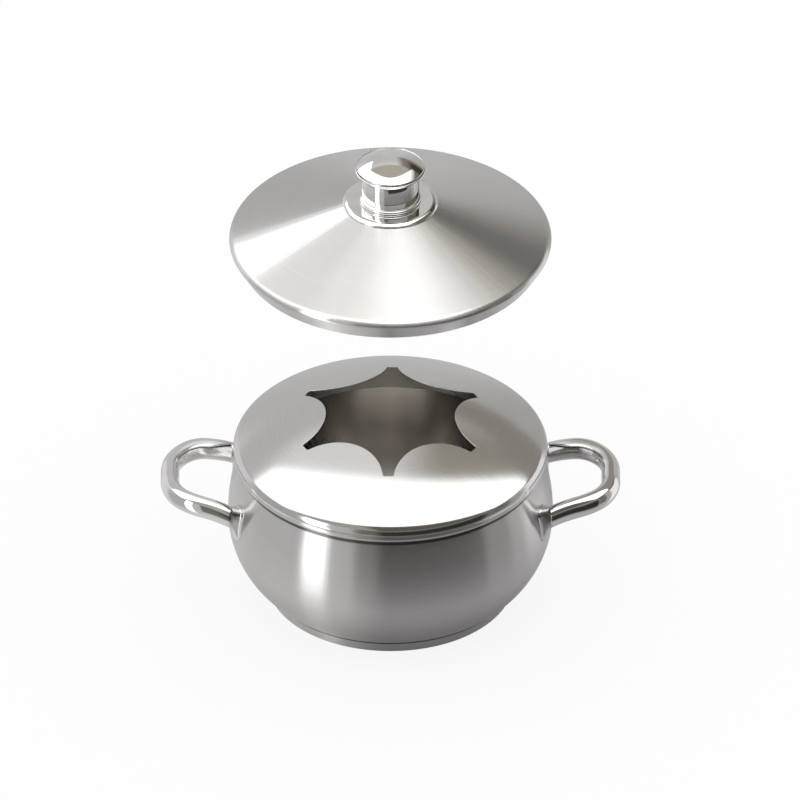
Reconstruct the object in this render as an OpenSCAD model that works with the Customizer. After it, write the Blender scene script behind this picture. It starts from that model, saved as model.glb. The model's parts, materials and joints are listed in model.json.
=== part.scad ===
// Stainless steel fondue pot with a star fork guard and a lift-off lid.
// Millimetres, +Z up, origin at the centre of the base's underside.
// The handles point along X. The lid is drawn lifted above the guard.

/* [Pot] */
// Inside diameter of the mouth, across the rolled rim
mouth_d = 198.4; // [190:0.4:202]
// Outside diameter of the belly at its widest
belly_d = 218; // [212:1:226]
// Height of the belly's widest circle
belly_z = 59; // [54:1:64]
// Radius of the lower curve of the belly
belly_low_r = 65; // [61:1:70]
// Outside radius of the curve between the belly and the flat bottom
bottom_r = 16; // [12:1:18]
// Height of the top of the rolled rim
rim_z = 108.8; // [104:0.4:116]
// Diameter of the rolled rim's section
rim_roll_d = 6; // [5:0.5:7]
// Gap left between the end of the rolled rim and the wall
rim_slit = 0.4; // [0.3:0.1:0.6]
// Sheet thickness of the pot
pot_t = 1; // [0.8:0.1:1.2]

/* [Base] */
// Height of the base cap's upper edge, where its seam shows
seam_z = 9; // [8.4:0.2:9.6]
// Sheet thickness of the base cap
base_cap_t = 1; // [0.8:0.1:1.2]
// Thickness of the aluminium core under the flat bottom
core_t = 6; // [5.4:0.2:6.4]
// How far the foot stands in from the seam
foot_taper = 2.4; // [1.6:0.2:3]
// Radius round the edge of the foot
foot_edge_r = 2; // [1.6:0.2:2.4]
// How far the seam's edge stands proud of the pot
seam_step = 0.4; // [0.2:0.1:0.6]

/* [Handles] */
// Distance from the pot's axis to the outside of a handle
handle_reach = 154; // [148:1:160]
// Width of the oval tube, seen from above
tube_w = 12.5; // [11:0.5:14]
// Height of the oval tube
tube_h = 15.2; // [13.6:0.4:17.2]
// Wall thickness of the tube
tube_t = 1; // [0.8:0.1:1.4]
// Centre line radius of a handle's corners
corner_r = 30; // [26:1:32]
// Length of the straight outer grip between the corners
grip_len = 12; // [8:1:18]
// Angle at which the two legs close in on each other
leg_angle = 11.3; // [6:0.5:14]
// Height of the centre line along the grip
grip_z = 85.8; // [83:0.4:88]
// How far the legs drop from the grip to the feet
leg_drop = 6.5; // [4:0.5:8]
// Distance from the grip's centre line back to where the legs start to drop
level_len = 11; // [8:1:14]
// Distance from the wall's outermost line at the legs in to where the tubes start
leg_start = 0.4; // [-1:0.2:3]
// Width of a foot plate along the wall
foot_w = 13; // [12.5:0.5:18]
// Height of a foot plate
foot_h = 25; // [22:1:28]
// How far a foot plate's centre lies below the tube's centre line
foot_drop = 7; // [4:0.5:8]
// How far a foot plate's centre lies in from the tube's centre line
foot_shift = 4; // [2:0.5:5]
// Thickness of a foot plate
foot_t = 1.4; // [1:0.1:2]
// Corner radius of a foot plate
foot_corner_r = 4.5; // [2:0.5:5]

/* [Guard] */
// Radius of the guard's dome
dome_r = 215; // [200:5:230]
// Radius round the guard's outer edge
guard_edge_r = 7; // [5:0.5:8]
// Sheet thickness of the guard
guard_t = 1; // [0.8:0.1:1.2]
// How far the guard's edge overhangs the rolled rim
guard_lap = 0.2; // [0:0.1:0.6]
// Distance from the axis to the ends of the star's points
star_r = 65.2; // [62:0.4:66]
// Radius of the six petals that form the star
petal_r = 36.8; // [36:0.2:37.6]
// Distance from the axis to the centres of the petals
petal_c = 80; // [79:0.5:81]
// Radius round the corners at the blunt end of each point of the star
point_r = 1.2; // [0.8:0.1:1.8]
// Turn of the star about the axis
star_turn = -1.2; // [-5:0.1:5]
// Depth of the guard's skirt inside the mouth
skirt_h = 17; // [8:1:20]
// Gap between the guard's skirt and the mouth
skirt_gap = 0.8; // [0.6:0.1:1.2]
// Sheet thickness of the guard's ring
ring_t = 0.8; // [0.6:0.1:1]

/* [Lid] */
// Sheet thickness of the lid
lid_t = 1; // [0.8:0.1:1.2]
// How far the lid's shoulder overhangs the guard's edge
lid_lap = 2; // [1:0.2:3]
// Height of the band round the lid, below the shoulder
band_h = 12; // [9:0.2:13]
// How far the band closes in from the shoulder to its lower edge, which lies on the guard
band_taper = 7.3; // [6.5:0.1:8.5]
// Radius round the shoulder above the band
shoulder_r = 4.6; // [3:0.2:6]
// Slope of the lid's cone
lid_slope = 18.8; // [17:0.2:21]
// Radius of the flat seat for the knob
seat_r = 29; // [27:0.5:30]
// How far the lid is lifted above its place on the guard
lid_lift = 148; // [0:0.1:200]

/* [Knob] */
// Outside diameter of the knob's flange
flange_d = 63.6; // [61:0.4:66]
// Thickness of the flange
flange_t = 2; // [1.6:0.1:2.4]
// Outside diameter of the knob's neck
neck_d = 38.6; // [36:0.4:40]
// Height of the neck above the flange
neck_h = 20; // [18:0.5:23]
// Outside diameter of the collar's rim
collar_d = 46.8; // [44:0.4:49]
// Height of the collar
collar_h = 4.4; // [4:0.1:5]
// Diameter of the domed cap
cap_d = 45.2; // [43.2:0.4:46.4]
// Height of the cap's dome
cap_h = 6.5; // [4:0.5:8]
// Gap left between the collar and the edge of the cap
cap_gap = 1.2; // [1:0.1:1.6]
// How far the cap's skirt reaches down into the neck
cap_fit_h = 2; // [1:0.5:4]
// Sheet thickness of the knob's parts
knob_t = 1.2; // [1:0.1:1.4]
// Nominal diameter of the knob's screw
screw_d = 6; // [5:0.5:6]
// Length of the screw under its head
screw_l = 16; // [14:0.5:17]
// Diameter of the screw's head
head_d = 11; // [10:0.5:12]
// Height of the screw's head
head_h = 3.4; // [3:0.2:4]
// Bevel round the edge of the screw's head
head_bevel = 1.2; // [0.6:0.2:1.6]
// Outside diameter of the flat washer
washer_d = 14; // [13:0.5:18]
// Thickness of the flat washer
washer_t = 1.2; // [1:0.1:1.6]
// Outside diameter of the lock washer
lock_d = 10.6; // [10:0.2:11.4]
// Thickness of the lock washer
lock_t = 1.5; // [1.2:0.1:1.8]

/* [Fits] */
// Gap between faces of parts that lift off each other
rest_gap = 0.3; // [0.2:0.05:0.5]
// Radial gap round the screw in the lid, the flange and the washers
hole_gap = 0.3; // [0.2:0.05:0.4]
// Radial gap between the screw and its thread
thread_gap = 0.05; // [0.02:0.01:0.1]
// Gap between pieces that are pressed or welded together
press_gap = 0.1; // [0.05:0.01:0.15]

/* [Hidden] */
$fn = 120;
steel = "#c9c9cc";
polished = "#dcdce0";
aluminium = "#b4b6b8";
past = 1;

// Pot profile: fillet, lower curve, upper curve and rolled rim, each tangent to the next.
// The upper curve's radius is negative where the mouth is wider than the belly.
belly_r = belly_d / 2;
bottom_z = base_cap_t + core_t;
low_c = [belly_r - belly_low_r, belly_z];
fillet_drop = belly_z - bottom_z - bottom_r;
fillet_run = sqrt(pow(belly_low_r - bottom_r, 2) - pow(fillet_drop, 2));
fillet_c = [low_c[0] + fillet_run, bottom_z + bottom_r];
fillet_a = atan2(fillet_drop, fillet_run);
roll_r = rim_roll_d / 2;
roll_c = [mouth_d / 2 + roll_r, rim_z - roll_r];
rim_r = roll_c[0] + roll_r;
neck_in = belly_r - roll_c[0];
neck_up = roll_c[1] - belly_z;
roll_hollow_r = roll_r - pot_t;
belly_up_r = (pow(neck_up, 2) + pow(neck_in, 2) - pow(roll_hollow_r, 2))
           / (2 * (neck_in + roll_hollow_r));
up_c = [belly_r - belly_up_r, belly_z];
roll_a = atan(neck_up / (belly_up_r - neck_in));
roll_end_a = acos((roll_c[0] - wall_r(roll_c[1] - roll_r) - rim_slit) / roll_r);

// Base
seam_r = fillet_c[0] + sqrt(pow(bottom_r, 2) - pow(fillet_c[1] - seam_z, 2)) + seam_step;
base_r = seam_r - foot_taper;
core_top_z = seam_z - base_cap_t;

// Handles
grip_x = handle_reach - tube_w / 2;
corner_c = [grip_x - corner_r, grip_len / 2];
leg_z = grip_z - leg_drop;
leg_x = wall_r(leg_z) - leg_start;
leg_a = 90 - leg_angle;
leg_top = corner_c + corner_r * [cos(leg_a), sin(leg_a)];
leg_y = leg_top[1] + (leg_top[0] - leg_x) * tan(leg_angle);
level_x = grip_x - level_len;
foot_root = 24;
tube_sides = 20;
leg_steps = 6;
corner_steps = 11;

// Guard: the dome is tangent to the rounded edge, and the round in each corner of a point is
// tangent to the petal beside it and to the circle round all points. corner_a is how far the
// corner's centre lies off the point's middle, and petal_a is half of what shows of a petal.
guard_z = rim_z + rest_gap;
guard_r = rim_r + guard_lap;
edge_c = [guard_r - guard_edge_r, guard_z];
dome_z = guard_z - sqrt(pow(dome_r - guard_edge_r, 2) - pow(edge_c[0], 2));
dome_a = acos(edge_c[0] / (dome_r - guard_edge_r));
point_in_r = star_r - point_r;
point_out_r = petal_r + point_r;
corner_a = 30 - acos((pow(petal_c, 2) + pow(point_in_r, 2) - pow(point_out_r, 2))
                     / (2 * petal_c * point_in_r));
petal_a = acos((pow(petal_c, 2) + pow(point_out_r, 2) - pow(point_in_r, 2))
               / (2 * petal_c * point_out_r));
ring_r = guard_r - guard_t - press_gap;
skirt_z = guard_z - skirt_h;
skirt_r = min(mouth_d / 2, wall_r(skirt_z) - pot_t) - skirt_gap;

// Lid: the lower edge of its band lies on the guard's dome when it is put down.
// lid_z is the height of its widest circle, where the shoulder meets the band.
lid_r = guard_r + lid_lap;
shoulder_c = [lid_r - shoulder_r, 0];
shoulder_in = shoulder_r - lid_t;
cone_r = shoulder_c[0] + shoulder_r * sin(lid_slope);
band_a = atan(band_taper / band_h);
band_low_r = lid_r - band_taper;
band_low_in_r = band_low_r - lid_t / cos(band_a);
crease_in_a = asin(lid_t * tan(band_a / 2) / shoulder_in);
lid_down_z = dome_z + sqrt(pow(dome_r, 2) - pow(band_low_in_r, 2)) + rest_gap + band_h;
lid_z = lid_down_z + lid_lift;
seat_z = shoulder_r * cos(lid_slope) + (cone_r - seat_r) * tan(lid_slope);
knob_z = lid_z + seat_z;
under_z = knob_z - lid_t;
hole_r = screw_d / 2 + hole_gap;

// Knob, measured up from the flat seat on the lid
flange_r = flange_d / 2;
neck_r = neck_d / 2;
dish_land = 1.6;
dish_h = 0.7;
dish_steps = 10;
neck_foot_h = 3;
neck_barrel = 0.35;
neck_steps = 10;
collar_steps = 8;
collar_lip_w = 2.6;
neck_groove = 0.6;
neck_in_r = neck_r - neck_barrel - knob_t;
collar_z = flange_t + neck_h;
collar_top_z = collar_z + collar_h;
collar_r = collar_d / 2;
cap_r = cap_d / 2;
cap_z = collar_top_z + cap_gap;
cap_skirt_r = neck_in_r - press_gap;
insert_lip_r = 12;
insert_foot_t = 3;
insert_boss_r = 6.5;
insert_boss_h = 14;
recess_w = 1.4;
recess_l = 6;
recess_h = 2;
lock_split = 1.2;
lock_turn = 40;

// Points along an arc, from angle a0 to a1
function arc(c, r, a0, a1, n) =
    [for (i = [0 : n]) c + r * [cos(a0 + (a1 - a0) * i / n), sin(a0 + (a1 - a0) * i / n)]];

// The same points without the first, to follow another arc
function arc_on(c, r, a0, a1, n) =
    [for (i = [1 : n]) c + r * [cos(a0 + (a1 - a0) * i / n), sin(a0 + (a1 - a0) * i / n)]];

function reversed(list) = [for (i = [len(list) - 1 : -1 : 0]) list[i]];

// Outer radius of the pot's wall at a height above the belly
function wall_r(z) =
    up_c[0] + sign(belly_up_r) * sqrt(pow(belly_up_r, 2) - pow(z - belly_z, 2));

// The side of the pot from the flat bottom up to the rolled rim, grown outwards by d
function side(d) = concat(
    arc(fillet_c, bottom_r + d, -90, -fillet_a, 8),
    arc_on(low_c, belly_low_r + d, -fillet_a, 0, 18),
    arc_on(up_c, belly_up_r + d, 0, roll_a, 10)
);

// The pot's underside below height z, from the flat bottom outwards
function under_side(z) = [for (p = arc(fillet_c, bottom_r, -90, -fillet_a, 40)) if (p[1] < z) p];

function oval(w, h) = [
    for (i = [0 : tube_sides - 1])
        [w / 2 * cos(360 * i / tube_sides), h / 2 * sin(360 * i / tube_sides)]
];

// Half of a handle's centre line seen from above: [x, y, angle of the outward normal]
function half_path() = concat(
    [for (i = [0 : leg_steps - 1])
        let (p = [leg_x, leg_y] + (leg_top - [leg_x, leg_y]) * i / leg_steps) [p[0], p[1], leg_a]],
    [for (i = [0 : corner_steps])
        let (a = leg_a * (1 - i / corner_steps), p = corner_c + corner_r * [cos(a), sin(a)])
            [p[0], p[1], a]]
);
function whole_path() = concat(
    half_path(),
    [for (p = reversed(half_path())) [p[0], -p[1], -p[2]]]
);

// Height of the centre line: level at the grip, then a smooth drop along the legs
function path_z(x) =
    x > level_x ? grip_z : grip_z - leg_drop * pow((level_x - x) / (level_x - leg_x), 2);

function tube_ring(p, section) = [
    for (q = section) [p[0] + q[0] * cos(p[2]), p[1] + q[0] * sin(p[2]), path_z(p[0]) + q[1]]
];

// Two triangles between neighbouring rings a and b, side j
function strip(a, b, j) =
    let (n = tube_sides, k = (j + 1) % n)
    [[a * n + j, b * n + j, b * n + k], [a * n + j, b * n + k, a * n + k]];

module turned(points) {
    rotate_extrude() polygon(points);
}

module pot_shell() {
    end_a = roll_end_a - 180;
    color(steel) turned(concat(
        [[0, bottom_z]],
        side(0),
        arc_on(roll_c, roll_hollow_r, 180 + roll_a, end_a, 20),
        arc(roll_c, roll_r, end_a, 180 + roll_a, 24),
        reversed(side(-pot_t)),
        [[0, bottom_z + pot_t]]
    ));
}

// The disc that fills the base between the flat bottom and the base cap
module base_core() {
    slope = foot_taper / (seam_z - foot_edge_r);
    low_r = base_r - base_cap_t - press_gap;
    top_r = low_r + (core_top_z - foot_edge_r) * slope;
    color(aluminium) turned(concat(
        [[0, base_cap_t], [low_r - foot_edge_r / 2, base_cap_t]],
        [[low_r, foot_edge_r], [top_r, core_top_z]],
        reversed(under_side(core_top_z)),
        [[0, bottom_z]]
    ));
}

module base_cap() {
    c = [base_r - foot_edge_r, foot_edge_r];
    color(steel) difference() {
        turned(concat(
            [[0, 0]],
            arc(c, foot_edge_r, -90, 0, 6),
            [[seam_r, seam_z], [0, seam_z]]
        ));
        turned(concat(
            [[0, base_cap_t]],
            arc(c, foot_edge_r - base_cap_t, -90, 0, 6),
            [[seam_r - base_cap_t, seam_z], [seam_r - base_cap_t, seam_z + past]],
            [[0, seam_z + past]]
        ));
        pot_solid(0);
    }
}

// The pot's outside as a solid, grown outwards by d
module pot_solid(d) {
    top = belly_up_r * sin(roll_a) + belly_z;
    turned(concat([[0, bottom_z - d]], side(d), [[0, top]]));
}

module handle() {
    path = whole_path();
    n = len(path);
    outer = [for (p = path) each tube_ring(p, oval(tube_w, tube_h))];
    inner = [for (p = path) each tube_ring(p, oval(tube_w - 2 * tube_t, tube_h - 2 * tube_t))];
    outer_faces = [for (i = [0 : n - 2], j = [0 : tube_sides - 1]) each strip(i, i + 1, j)];
    inner_faces = [
        for (i = [0 : n - 2], j = [0 : tube_sides - 1]) each [
            for (f = strip(n + i, n + i + 1, j)) reversed(f)
        ]
    ];
    start_faces = [for (j = [0 : tube_sides - 1]) each strip(n, 0, j)];
    end_faces = [for (j = [0 : tube_sides - 1]) each strip(n - 1, 2 * n - 1, j)];
    color(polished) polyhedron(
        points = concat(outer, inner),
        faces = concat(outer_faces, inner_faces, start_faces, end_faces),
        convexity = 4
    );
}

// A rounded rectangle
module plate_shape(w, h, r) {
    square([w - 2 * r, h], center = true);
    square([w, h - 2 * r], center = true);
    for (x = [-1, 1], y = [-1, 1]) translate([x * (w / 2 - r), y * (h / 2 - r)]) circle(r = r);
}

// The foot of the rear leg of the right handle: a block that narrows from a plate on the
// wall of the pot to the end of the tube
module foot() {
    color(polished) difference() {
        hull() {
            translate([leg_x, leg_y, leg_z]) rotate([0, 0, -leg_angle]) rotate([90, 0, -90])
                linear_extrude(height = foot_t) scale([-1, 1]) polygon(oval(tube_w, tube_h));
            intersection() {
                pot_solid(foot_t);
                translate([belly_r, leg_y - foot_shift, leg_z - foot_drop]) rotate([90, 0, -90])
                    linear_extrude(height = foot_root)
                        plate_shape(foot_w, foot_h, foot_corner_r, $fn = 32);
            }
        }
        pot_solid(0);
        translate([leg_x, leg_y, leg_z]) rotate([0, 0, -leg_angle])
            translate([0, -belly_r / 2, -belly_r / 2]) cube(belly_r);
    }
}

module guard_plate() {
    color(steel) difference() {
        turned(concat(
            arc([0, dome_z], dome_r, 90, dome_a, 30),
            arc_on(edge_c, guard_edge_r, dome_a, 0, 12),
            arc(edge_c, guard_edge_r - guard_t, 0, dome_a, 12),
            arc_on([0, dome_z], dome_r - guard_t, dome_a, 90, 30)
        ));
        rotate([0, 0, star_turn]) translate([0, 0, guard_z])
            linear_extrude(height = dome_z + dome_r - guard_z + past)
                polygon([for (i = [0 : 5]) each star_part(60 * i)]);
    }
}

// One sixth of the star's outline: the petal at angle a, then the two corners of the point
// that follows it
function star_part(a) =
    let (a1 = a + 30 - corner_a, a2 = a + 30 + corner_a)
    concat(
        arc_on(petal_c * [cos(a), sin(a)], petal_r, a + 180 + petal_a, a + 180 - petal_a, 16),
        arc_on(point_in_r * [cos(a1), sin(a1)], point_r, a - petal_a, a1, 4),
        arc(point_in_r * [cos(a2), sin(a2)], point_r, a2, a + 60 + petal_a, 4)
    );

module guard_ring() {
    color(steel) turned([
        [skirt_r - ring_t, skirt_z],
        [skirt_r, skirt_z],
        [skirt_r, guard_z],
        [ring_r, guard_z],
        [ring_r, guard_z + ring_t],
        [skirt_r - ring_t, guard_z + ring_t]
    ]);
}

module lid_shell() {
    c = shoulder_c + [0, lid_z];
    slope_a = 90 - lid_slope;
    seat_in_r = seat_r - lid_t * tan(lid_slope / 2);
    color(steel) turned(concat(
        [[band_low_in_r, lid_z - band_h], [band_low_r, lid_z - band_h]],
        arc(c, shoulder_r, 0, slope_a, 8),
        [[seat_r, knob_z], [hole_r, knob_z], [hole_r, under_z], [seat_in_r, under_z]],
        arc(c, shoulder_in, slope_a, crease_in_a, 8)
    ));
}

// A disc with a round edge, dished between the edge and the neck
module knob_flange() {
    top = knob_z + flange_t;
    dish_in = neck_r + dish_land;
    dish_w = flange_r - dish_land - dish_in;
    edge_r = flange_t / 2;
    color(polished) turned(concat(
        [[hole_r, knob_z]],
        arc([flange_r - edge_r, knob_z + edge_r], edge_r, -90, 90, 10),
        [for (i = [dish_steps : -1 : 0])
            [dish_in + dish_w * i / dish_steps, top - dish_h * sin(180 * i / dish_steps)]],
        [[hole_r, top]]
    ));
}

// A cup with a round bead at its foot, a groove above it and a slightly barrelled wall
module knob_neck() {
    z0 = knob_z + flange_t;
    z1 = z0 + neck_foot_h;
    z2 = knob_z + collar_z;
    bead_r = (neck_foot_h - neck_groove) / 2;
    wall_z = z1 + neck_groove;
    color(polished) turned(concat(
        [[insert_lip_r, z0], [neck_r, z0]],
        arc([neck_r, z0 + neck_foot_h / 2], bead_r, -90, 90, 8),
        [[neck_r - neck_groove, z1], [neck_r - neck_groove, z1 + neck_groove / 2]],
        [for (i = [0 : neck_steps])
            [neck_r - neck_barrel * pow(2 * i / neck_steps - 1, 2),
             wall_z + (z2 - wall_z) * i / neck_steps]],
        [[neck_in_r, z2], [neck_in_r, z0 + knob_t], [insert_lip_r, z0 + knob_t]]
    ));
}

// A ring on the neck that flares out to a round lip
module knob_collar() {
    z0 = knob_z + collar_z;
    z1 = knob_z + collar_top_z;
    lip = knob_t / 2;
    flare = collar_r - neck_r;
    color(polished) turned(concat(
        [[neck_in_r, z0]],
        [for (i = [0 : collar_steps])
            [neck_r + flare * pow(i / collar_steps, 2), z0 + (collar_h - lip) * i / collar_steps]],
        arc_on([collar_r - lip, z1 - lip], lip, 0, 120, 6),
        [[collar_r - collar_lip_w, z1 - lip], [neck_in_r, z1 - lip]]
    ));
}

// A domed sheet with a short edge that steps in to a skirt, pressed into the neck
module knob_cap() {
    z0 = knob_z + cap_z;
    dome = (pow(cap_r, 2) + pow(cap_h, 2)) / (2 * cap_h);
    c = [0, z0 + cap_h - dome];
    edge_a = acos(cap_r / dome);
    inner_a = acos((cap_skirt_r - knob_t) / (dome - knob_t));
    fit_z = knob_z + collar_z - cap_fit_h;
    edge_z = z0 - cap_gap / 2;
    color(polished) turned(concat(
        [[cap_skirt_r - knob_t, fit_z], [cap_skirt_r, fit_z], [cap_skirt_r, edge_z]],
        [[cap_r - cap_gap / 2, edge_z]],
        arc(c, dome, edge_a, 90, 16),
        arc(c, dome - knob_t, 90, inner_a, 12)
    ));
}

// The threaded block inside the neck that the screw pulls down
module knob_insert() {
    z0 = knob_z + flange_t;
    lip_z = z0 + knob_t;
    bore_r = screw_d / 2 + thread_gap;
    lip_r = insert_lip_r - press_gap;
    wide_r = neck_in_r - press_gap;
    wide_z = lip_z + insert_foot_t;
    top_z = wide_z + insert_boss_h;
    color(aluminium) difference() {
        turned([
            [0, z0], [lip_r, z0], [lip_r, lip_z], [wide_r, lip_z], [wide_r, wide_z],
            [insert_boss_r, wide_z], [insert_boss_r, top_z], [0, top_z]
        ]);
        translate([0, 0, z0 - past]) cylinder(r = bore_r, h = insert_boss_h + past);
    }
}

module knob_washer() {
    color(steel) translate([0, 0, under_z - washer_t]) difference() {
        cylinder(r = washer_d / 2, h = washer_t);
        translate([0, 0, -past]) cylinder(r = hole_r, h = washer_t + 2 * past);
    }
}

module knob_lock_washer() {
    color(steel) translate([0, 0, under_z - washer_t - lock_t]) difference() {
        cylinder(r = lock_d / 2, h = lock_t);
        translate([0, 0, -past]) cylinder(r = hole_r, h = lock_t + 2 * past);
        rotate([0, 0, lock_turn]) translate([0, -lock_split / 2, -past])
            cube([lock_d, lock_split, lock_t + 2 * past]);
    }
}

module knob_screw() {
    head_z = under_z - washer_t - lock_t;
    low_z = head_z - head_h;
    color(steel) difference() {
        turned([
            [0, low_z], [head_d / 2 - head_bevel, low_z], [head_d / 2, low_z + head_bevel],
            [head_d / 2, head_z], [screw_d / 2, head_z],
            [screw_d / 2, head_z + screw_l], [0, head_z + screw_l]
        ]);
        for (a = [0, 90]) rotate([0, 0, a]) translate([-recess_l / 2, -recess_w / 2, low_z - past])
            cube([recess_l, recess_w, recess_h + past]);
    }
}

pot_shell();
base_core();
base_cap();
mirror([1, 0, 0]) handle();  // left_handle
handle();  // right_handle
mirror([1, 0, 0]) mirror([0, 1, 0]) foot();  // left_front_foot
mirror([1, 0, 0]) foot();  // left_rear_foot
mirror([0, 1, 0]) foot();  // right_front_foot
foot();  // right_rear_foot
guard_plate();
guard_ring();
lid_shell();
knob_flange();
knob_neck();
knob_collar();
knob_cap();
knob_insert();
knob_washer();
knob_lock_washer();
knob_screw();
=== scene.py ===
# Steel fondue pot with a star fork guard and a lift-off lid, dressed round its CAD frame.
# The scene is in metres. The settings are in millimetres and degrees unless a note says otherwise.
import json
import math
import bmesh
import bpy
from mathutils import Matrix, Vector


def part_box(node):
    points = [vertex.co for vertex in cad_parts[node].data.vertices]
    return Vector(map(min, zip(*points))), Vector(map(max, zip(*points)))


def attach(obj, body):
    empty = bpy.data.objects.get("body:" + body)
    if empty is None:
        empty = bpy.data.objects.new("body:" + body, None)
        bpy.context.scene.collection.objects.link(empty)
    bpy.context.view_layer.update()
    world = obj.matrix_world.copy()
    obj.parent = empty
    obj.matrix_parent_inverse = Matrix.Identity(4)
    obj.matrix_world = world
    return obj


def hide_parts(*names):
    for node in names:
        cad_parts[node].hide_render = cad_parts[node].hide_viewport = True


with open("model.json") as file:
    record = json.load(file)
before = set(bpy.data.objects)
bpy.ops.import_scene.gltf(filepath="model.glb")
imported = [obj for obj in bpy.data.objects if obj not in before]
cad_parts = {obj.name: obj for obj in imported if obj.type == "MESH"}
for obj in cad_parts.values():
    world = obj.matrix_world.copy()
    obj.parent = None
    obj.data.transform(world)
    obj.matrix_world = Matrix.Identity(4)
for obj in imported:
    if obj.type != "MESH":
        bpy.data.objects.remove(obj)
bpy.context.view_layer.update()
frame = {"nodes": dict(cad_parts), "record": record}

mm = 0.001
overlapStep = 0.02  # hair gap that keeps two surfaces from flickering


def boxMm(node):
    low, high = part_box(node)
    return low / mm, high / mm


def cosDeg(angle):
    return math.cos(math.radians(angle))


def sinDeg(angle):
    return math.sin(math.radians(angle))


def tanDeg(angle):
    return math.tan(math.radians(angle))


def polar(radius, angle):
    return radius * cosDeg(angle), radius * sinDeg(angle)


# The angle between the sides a and b of a triangle, whose third side is c
def cornerOf(a, b, c):
    return math.degrees(math.acos((a ** 2 + b ** 2 - c ** 2) / (2 * a * b)))


# Evenly spaced numbers, both ends included
def spaced(first, last, steps):
    return [first + (last - first) * i / steps for i in range(steps + 1)]


def arc(centre, radius, start, end, steps):
    points = [polar(radius, angle) for angle in spaced(start, end, steps)]
    return [(centre[0] + x, centre[1] + y) for x, y in points]


# Bowl: fillet, lower curve and upper curve, each tangent to the next, then the rolled rim
bowl = {
    "lowerRadius": 65.0,
    "bottomRadius": 16.0,
    "widestHeight": 59.0,
    "mouthDiameter": 198.4,
    "rollDiameter": 6.0,
    "rollSlit": 0.4,
    "sheet": 1.0,
}
bowlLow, bowlHigh = boxMm("pot_shell")
capHigh = boxMm("base_cap")[1]


class BowlShape:
    def __init__(self, part, bellyRadius, bottom, top):
        self.bottom = bottom
        self.sheet = part["sheet"]
        self.widest = part["widestHeight"]
        self.lowRadius = part["lowerRadius"]
        self.filletRadius = part["bottomRadius"]
        self.lowCentre = (bellyRadius - self.lowRadius, self.widest)
        drop = self.widest - bottom - self.filletRadius
        run = math.sqrt((self.lowRadius - self.filletRadius) ** 2 - drop ** 2)
        self.filletCentre = (self.lowCentre[0] + run, bottom + self.filletRadius)
        self.filletAngle = math.degrees(math.atan2(drop, run))
        self.rollRadius = part["rollDiameter"] / 2
        self.rollCentre = (part["mouthDiameter"] / 2 + self.rollRadius, top - self.rollRadius)
        self.rollHollow = self.rollRadius - self.sheet
        neckIn = bellyRadius - self.rollCentre[0]
        neckUp = self.rollCentre[1] - self.widest
        self.upRadius = ((neckUp ** 2 + neckIn ** 2 - self.rollHollow ** 2)
                         / (2 * (neckIn + self.rollHollow)))
        self.upCentre = (bellyRadius - self.upRadius, self.widest)
        self.rollAngle = math.degrees(math.atan(neckUp / (self.upRadius - neckIn)))
        slitWall = self.wall(self.rollCentre[1] - self.rollRadius) + part["rollSlit"]
        self.rollEnd = math.degrees(math.acos((self.rollCentre[0] - slitWall) / self.rollRadius)) - 180

    # Outer radius of the wall at a height
    def wall(self, height):
        if height >= self.widest:
            centre, radius = self.upCentre, self.upRadius
        elif height >= self.lowCentre[1] - self.lowRadius * sinDeg(self.filletAngle):
            centre, radius = self.lowCentre, self.lowRadius
        else:
            centre, radius = self.filletCentre, self.filletRadius
        return centre[0] + math.sqrt(max(radius ** 2 - (height - centre[1]) ** 2, 0))

    # Outward slope of the wall's normal above level, in degrees
    def tilt(self, height):
        radius = self.upRadius if height >= self.widest else self.lowRadius
        return math.degrees(math.asin((height - self.widest) / radius))

    # Profile of the wall from the bottom to the roll, grown outwards
    def side(self, grown):
        fillet = arc(self.filletCentre, self.filletRadius + grown, -90, -self.filletAngle, steps=14)
        lower = arc(self.lowCentre, self.lowRadius + grown, -self.filletAngle, 0, steps=44)
        upper = arc(self.upCentre, self.upRadius + grown, 0, self.rollAngle, steps=32)
        return fillet + lower[1:] + upper[1:]


bowlShape = BowlShape(bowl, bowlHigh.x, bowlLow.z, bowlHigh.z)


# Shader maths: a wire is a socket whose operators add Math nodes
class Wire:
    def __init__(self, maker, socket):
        self.maker = maker
        self.socket = socket

    def __add__(self, other):
        return self.maker.calc("ADD", self, other)

    def __radd__(self, other):
        return self.maker.calc("ADD", other, self)

    def __sub__(self, other):
        return self.maker.calc("SUBTRACT", self, other)

    def __rsub__(self, other):
        return self.maker.calc("SUBTRACT", other, self)

    def __mul__(self, other):
        return self.maker.calc("MULTIPLY", self, other)

    def __rmul__(self, other):
        return self.maker.calc("MULTIPLY", other, self)

    def __truediv__(self, other):
        return self.maker.calc("DIVIDE", self, other)

    def __rtruediv__(self, other):
        return self.maker.calc("DIVIDE", other, self)

    def __pow__(self, other):
        return self.maker.calc("POWER", self, other)

    def __rpow__(self, other):
        return self.maker.calc("POWER", other, self)


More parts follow.
